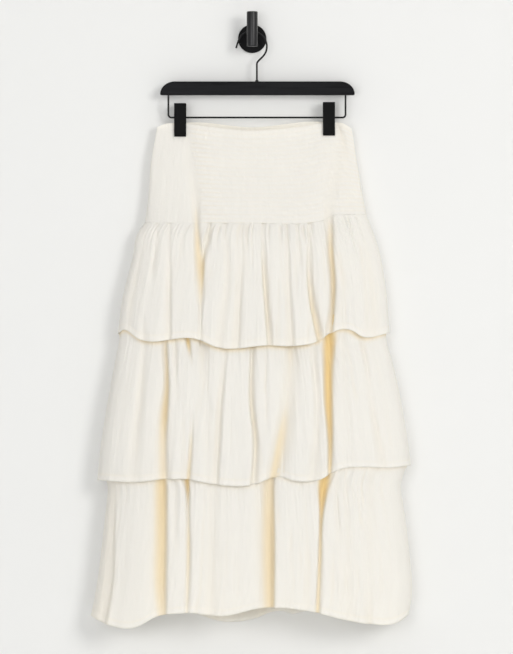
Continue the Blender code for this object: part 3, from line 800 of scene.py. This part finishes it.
def makePanel(tier, side):
    cut = cuts[tier]
    which = ("front", "back").index(side)
    columns, rows = cut["columns"][which], cut["rows"][which]
    across = np.linspace(-1, 1, columns + 1)[:, None]
    down = np.linspace(0, 1, rows + 1)[None, :]
    if tier == "yoke":
        top = waistHeight(side, across)
        bottom = seamHeight(across) + seamGap / 2
    else:
        top = seamHeight(across) + skirt["tuck"] if "above" not in cut else cut["sewnAt"]
        bottom = hemHeight(tier, side, across)
        down = down - 0.011 * np.sin(2 * math.pi * down)  # closer rows near the seam and the hem
    z = top + (bottom - top) * down
    x, y = clothSurface(tier, side, across, z, 0.0)
    outer = np.stack([x, y, z], axis=2)
    thick = np.full_like(z, skirt["cloth"])
    hemMask = np.zeros_like(z)
    stitch = np.zeros_like(z)
    if tier != "yoke":
        aboveHem = z - bottom
        edge = skirt["hemHeight"]
        hemMask = 1 - smoothStep(edge - 0.001, edge + 0.001, aboveHem)
        thick = thick + (skirt["hemCloth"] - skirt["cloth"]) * hemMask
        pitch, length = ripples["hemPitch"]
        wave = softNoise(grainOf(tier, across) / pitch + 500 + 0 * z, z / length, 77)
        stitch = hill(aboveHem, edge - skirt["stitchDrop"], skirt["stitchWidth"])
        puff = hemMask * (skirt["hemPuff"] + ripples["hemPucker"] * wave)
        outer[:, :, 1] += outwardOf(side) * (puff - skirt["stitchDepth"] * stitch)
    inner = outer - normalsOf(outer, side) * thick[:, :, None]
    for grid in (outer, inner):
        grid[[0, -1], :, 1] = hangPlane + outwardOf(side) * seamGap / 2
    places = np.concatenate([outer.reshape(-1, 3), inner.reshape(-1, 3)])
    name = tier + side.capitalize() + "Cloth"
    mesh = meshFrom(name, places, shellFaces(columns, rows, side == "back"))
    if tier == "yoke":
        mesh.set_sharp_from_angle(angle=math.radians(60))
    # the first attribute is the painted shade, the second marks the doubled hem
    for attribute, values in (("paintedShadeMask", paintedFoldShade(tier, side, across, x, z, stitch)), ("hemMask", hemMask)):
        both = np.concatenate([values.ravel(), values.ravel()]).astype(np.float32)
        mesh.attributes.new(attribute, "FLOAT", "POINT").data.foreach_set("value", both)
    obj = addObject(name, mesh, clothMaterial)
    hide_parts(tier.replace("tier", "tier_") + "_" + side)
    return obj


for tierName in cuts:
    for sideName in ("front", "back"):
        piece = makePanel(tierName, sideName)
    print("made", tierName)


# hanger and wall hook

def tube(name, points, radius, material, bevel=6):
    # a smooth round wire through its points, turned into a mesh
    curve = bpy.data.curves.new(name, "CURVE")
    curve.dimensions = "3D"
    curve.bevel_depth = radius
    curve.bevel_resolution = bevel
    curve.use_fill_caps = True
    spline = curve.splines.new("POLY")
    spline.points.add(len(points) - 1)
    for point, place in zip(spline.points, points):
        point.co = (*place, 1.0)
    obj = linkObject(name, curve)
    mesh = bpy.data.meshes.new_from_object(obj.evaluated_get(bpy.context.evaluated_depsgraph_get()))
    bpy.data.objects.remove(obj)
    mesh.name = name
    mesh.shade_smooth()
    mesh.set_sharp_from_angle(angle=math.radians(50))
    return addObject(name, mesh, material)


def faceOutwards(mesh):
    bm = bmesh.new()
    bm.from_mesh(mesh)
    bmesh.ops.recalc_face_normals(bm, faces=bm.faces)
    bm.to_mesh(mesh)
    bm.free()


def quarterTurn(steps):
    return [math.pi / 2 * i / steps for i in range(steps + 1)]


def turned(name, profile, material, place=(0, 0, 0), alongY=False, steps=64):
    # a profile of (radius, height) spun round Z, or round -Y
    places = []
    for radius, height in profile:
        for k in range(steps):
            a = 2 * math.pi * k / steps
            if alongY:
                spot = (radius * math.cos(a), -height, radius * math.sin(a))
            else:
                spot = (radius * math.cos(a), radius * math.sin(a), height)
            places.append([p + q for p, q in zip(place, spot)])
    rings = len(profile)
    faces = []
    for r in range(rings - 1):
        for k in range(steps):
            n = (k + 1) % steps
            faces.append([r * steps + k, r * steps + n, (r + 1) * steps + n, (r + 1) * steps + k])
    faces.append(list(range(steps))[::-1])
    faces.append(list(range((rings - 1) * steps, rings * steps)))
    mesh = meshFrom(name, places, faces)
    faceOutwards(mesh)
    mesh.set_sharp_from_angle(angle=math.radians(35))
    return addObject(name, mesh, material)


def prism(name, near, far, material, edge, segments, sharpest):
    # a solid between two matching outlines, its edges eased
    count = len(near)
    faces = [list(range(count)), list(range(count, 2 * count))[::-1]]
    for i in range(count):
        n = (i + 1) % count
        faces.append([i, i + count, n + count, n])
    mesh = meshFrom(name, near + far, faces, smooth=False)
    faceOutwards(mesh)
    mesh.shade_smooth()
    obj = addObject(name, mesh, material)
    bevel = obj.modifiers.new("easedEdges", "BEVEL")
    bevel.width = edge
    bevel.segments = segments
    bevel.limit_method = "ANGLE"
    bevel.angle_limit = math.radians(sharpest)
    bevel.harden_normals = True
    return obj


def roundedRim(radius, low, high, edge, steps=5):
    # (radius, height) points of a disc or bar with rounded rims
    flat = radius - edge
    profile = [(flat + edge * math.sin(a), low + edge - edge * math.cos(a)) for a in quarterTurn(steps)]
    profile += [(flat + edge * math.cos(a), high - edge + edge * math.sin(a)) for a in quarterTurn(steps)]
    return profile


def curvePoints(points, steps):
    # a smooth curve through the points, by Catmull and Rom's rule
    points = [Vector(p) for p in points]
    points = [2 * points[0] - points[1], *points, 2 * points[-1] - points[-2]]
    out = []
    for i in range(1, len(points) - 2):
        a, b, c, d = points[i - 1:i + 3]
        for k in range(steps):
            t = k / steps
            out.append(0.5 * ((2 * b) + (c - a) * t + (2 * a - 5 * b + 4 * c - d) * t * t
                              + (3 * b - a - 3 * c + d) * t ** 3))
    return out + [points[-2]]


wallHook = dict(plateEdge=0.0012, pegEdge=0.0016, stemRadius=0.0099, stemBite=0.7)


def makeWallHook():
    low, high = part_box("hook_plate")
    thick = high.y - low.y
    rim = roundedRim((high.x - low.x) / 2, 0.0, thick, wallHook["plateEdge"])
    plate = turned("wallPlate", rim, plateMaterial, alongY=True, steps=96)
    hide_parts("hook_plate")
    low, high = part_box("hook_peg")
    radius = (high.x - low.x) / 2
    rim = roundedRim(radius, low.z, high.z, wallHook["pegEdge"])
    peg = turned("wallPeg", rim, coatMaterial, place=(0, low.y + radius, 0), steps=72)
    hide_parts("hook_peg")
    # the stem runs from the plate a little way into the peg
    ends = (thick + seamGap, -(low.y + radius) - radius * wallHook["stemBite"])
    profile = [(wallHook["stemRadius"], end) for end in ends]
    turned("wallStem", profile, coatMaterial, alongY=True)


hanger = dict(
    hookWire=0.0017, hookBend=0.0278, hookX=-0.001, neckX=0.0085, stemTop=0.0099,
    barEnd=0.027, barTip=-0.1028, barEdge=0.0020,
    railWire=0.0017, railBend=0.0055, railZ=-0.1453,
)


def makeHook():
    bendZ = hanger["stemTop"] + seamGap + hanger["hookWire"] - hanger["hookBend"]
    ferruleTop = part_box("hanger_ferrule")[1].z
    route = []
    for x, z in ((-0.0294, -0.0186), (-0.0270, -0.0105), (-0.0240, -0.0030), (-0.0190, 0.0042)):
        route.append((x, hangPlane, z))
    for i in range(11):
        a = math.radians(115 * (1 - i / 10))
        route.append((hanger["hookX"] + hanger["hookBend"] * math.cos(a), hangPlane,
                      bendZ + hanger["hookBend"] * math.sin(a)))
    neck = hanger["neckX"]
    route += [(0.0253, hangPlane, -0.0245), (0.0208, hangPlane, -0.0323), (0.0118, hangPlane, -0.0415),
              (0.0092, hangPlane, -0.0450), (neck, hangPlane, -0.0490), (neck, hangPlane, -0.0600),
              (neck, hangPlane, ferruleTop + seamGap)]
    wire = tube("hookWire", curvePoints(route, 5), hanger["hookWire"], wireMaterial, bevel=7)
    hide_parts("hanger_hook")
    low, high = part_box("hanger_ferrule")
    radius = (high.x - low.x) / 2
    profile = [(radius * 0.98, low.z), (radius, low.z + 0.0005), (radius, low.z + 0.0012),
               (radius * 0.72, low.z + 0.0020), (radius * 0.62, high.z)]
    collar = turned("hookCollar", profile, wireMaterial,
                    place=((low.x + high.x) / 2, hangPlane, 0), steps=40)
    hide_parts("hanger_ferrule")


def makeBar():
    low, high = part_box("hanger_bar")
    rise = high.z - hanger["barTip"]
    end, tip = hanger["barEnd"], hanger["barTip"]
    outline = [(low.x + 0.0010, low.z), (high.x - 0.0010, low.z)]
    outline += [(high.x - end * (1 - math.cos(a)), tip + rise * math.sin(a)) for a in quarterTurn(20)]
    outline += [(low.x + end * (1 - math.cos(a)), tip + rise * math.sin(a)) for a in quarterTurn(20)[::-1]]
    near = [(x, low.y, z) for x, z in outline]
    far = [(x, high.y, z) for x, z in outline]
    bar = prism("stainedBar", near, far, woodMaterial, hanger["barEdge"], 5, 50)
    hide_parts("hanger_bar")


def makeRail():
    low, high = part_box("hanger_rail")
    wire = hanger["railWire"]
    bend = hanger["railBend"]
    left, right = low.x + wire, high.x - wire
    corner = hanger["railZ"] + bend
    route = [(left, hangPlane, high.z)]
    for start, middle in ((math.pi, left + bend), (-math.pi / 2, right - bend)):
        for a in quarterTurn(8):
            x, z = middle + bend * math.cos(start + a), corner + bend * math.sin(start + a)
            route.append((x, hangPlane, z))
    route.append((right, hangPlane, high.z))
    rail = tube("trouserRail", route, wire, wireMaterial, bevel=6)
    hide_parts("hanger_rail")


clip = dict(
    edge=0.0009, leaf=0.0030, handle=0.0115, pivot=0.0085, grip=0.0051,
    hub=0.0034, hubEnd=0.0030, coilWire=0.0005, coilLength=0.0070, coilTurns=6,
)


def makeClip(node, number):
    low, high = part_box(node)
    middle = (low.x + high.x) / 2
    rail = hanger["railZ"]
    for sign in (-1, 1):
        line = [
            (clip["handle"] - clip["leaf"], high.z), (clip["handle"], high.z),
            (clip["pivot"], rail + 0.0040), (clip["pivot"], low.z + 0.0020), (clip["pivot"] - 0.0010, low.z),
            (clip["grip"], low.z), (clip["grip"], rail - 0.0075),
            (clip["pivot"] - clip["leaf"], rail + 0.0060),
        ]
        near = [(low.x, hangPlane + sign * y, z) for y, z in line]
        far = [(high.x, hangPlane + sign * y, z) for y, z in line]
        side = "Front" if sign < 0 else "Back"
        leaf = prism(f"clip{number}{side}Leaf", near, far, plasticMaterial, clip["edge"],
                     3, 25)
        if side == "Front":
            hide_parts(node)
    end = (high.x - low.x) / 2 - 0.001
    profile = [(clip["hubEnd"], -end), (clip["hub"], -end + 0.0005), (clip["hub"], end - 0.0005),
               (clip["hubEnd"], end)]
    hub = turned(f"clip{number}Hub", profile, plasticMaterial, steps=28)
    place = Matrix.Translation((middle, hangPlane, rail))
    hub.data.transform(place @ Matrix.Rotation(math.radians(90), 4, "Y"))
    coil = []
    radius = clip["hub"] + clip["coilWire"]
    for share in np.linspace(0, 1, 20 * clip["coilTurns"]):
        a = 2 * math.pi * clip["coilTurns"] * share
        coil.append((middle + clip["coilLength"] * (share - 0.5), hangPlane + radius * math.cos(a),
                     rail + radius * math.sin(a)))
    tube(f"clip{number}Spring", coil, clip["coilWire"], springMaterial, bevel=2)


makeWallHook()
makeHook()
makeBar()
makeRail()
makeClip("clip_left", 1)
makeClip("clip_right", 2)
print("made hanger and hook")


# wall, floor, lights and camera

stage = dict(
    wall=(0.80, 0.80, 0.787, 1.0),
    floor=(0.80, 0.80, 0.79, 1.0),
    wallGap=0.0004,
    floorDrop=0.45,
    wallSpan=5.0,
    span=9.0,
)


def makeStage():
    lowest, highest = cadBox
    wall, tree, shader, output = startMaterial("palePaint", {
        "Base Color": stage["wall"], "Roughness": 0.9, "Specular IOR Level": 0.1,
    })
    # seen from behind, and for shadows, the wall is clear
    clear = addNode(tree, "ShaderNodeBsdfTransparent")
    backfacing = addNode(tree, "ShaderNodeNewGeometry").outputs["Backfacing"]
    shadow = addNode(tree, "ShaderNodeLightPath").outputs["Is Shadow Ray"]
    blend(tree, maths(tree, "MAXIMUM", backfacing, shadow), shader, clear, output)
    floorPaint = startMaterial("paleFloor", {"Base Color": stage["floor"], "Roughness": 0.85})[0]
    half = stage["span"] / 2
    floorZ = lowest.z - stage["floorDrop"]
    y = highest.y + stage["wallGap"]
    side = stage["wallSpan"] / 2
    corners = dict(
        wall=[(-side, y, floorZ), (side, y, floorZ), (side, y, side), (-side, y, side)],
        floor=[(-half, -stage["span"], floorZ), (half, -stage["span"], floorZ), (half, half, floorZ),
               (-half, half, floorZ)],
    )
    for name, material in (("wall", wall), ("floor", floorPaint)):
        mesh = meshFrom(name, corners[name], [[0, 1, 2, 3]], smooth=False)
        mesh.materials.append(material)
        linkObject(name, mesh)


lights = dict(
    key=dict(place=(3.3, -5.3, 1.0), size=2.3, power=128.0, colour=(1.0, 0.99, 0.97)),
    fill=dict(place=(-1.4, -6.0, -0.6), size=3.4, power=104.0, colour=(0.985, 0.99, 1.0)),
    behind=dict(place=(0.4, 2.2, 0.3), size=2.4, power=30.0, colour=(1.0, 1.0, 1.0)),
    room=0.56,
)


def makeLights():
    lowest, highest = cadBox
    aim = (lowest + highest) / 2
    for name in ("key", "fill", "behind"):
        setting = lights[name]
        lamp = bpy.data.lights.new(name, "AREA")
        lamp.shape = "DISK"
        lamp.size = setting["size"]
        lamp.energy = setting["power"]
        lamp.color = setting["colour"]
        obj = linkObject(name, lamp)
        obj.location = setting["place"]
        obj.rotation_euler = (aim - obj.location).to_track_quat("-Z", "Y").to_euler()
    world = bpy.data.worlds.new("room")
    world.use_nodes = True
    background = world.node_tree.nodes["Background"]
    setInputs(background, {"Color": (1.0, 1.0, 1.0, 1.0), "Strength": lights["room"]})
    bpy.context.scene.world = world


camera = dict(distance=7.0, right=0.009, up=-0.0147, height=1.194, sensor=36.0)


def makeCamera():
    lowest, highest = cadBox
    middle = (lowest + highest) / 2
    data = bpy.data.cameras.new("camera")
    data.sensor_width = camera["sensor"]
    data.lens = camera["sensor"] * camera["distance"] / camera["height"]
    obj = linkObject("camera", data)
    obj.location = (middle.x + camera["right"], hangPlane - camera["distance"], middle.z + camera["up"])
    obj.rotation_euler = (math.radians(90), 0, 0)
    bpy.context.scene.camera = obj


makeStage()
makeLights()
makeCamera()
bpy.context.scene.view_settings.view_transform = "Standard"
print("stage, lights and camera set")
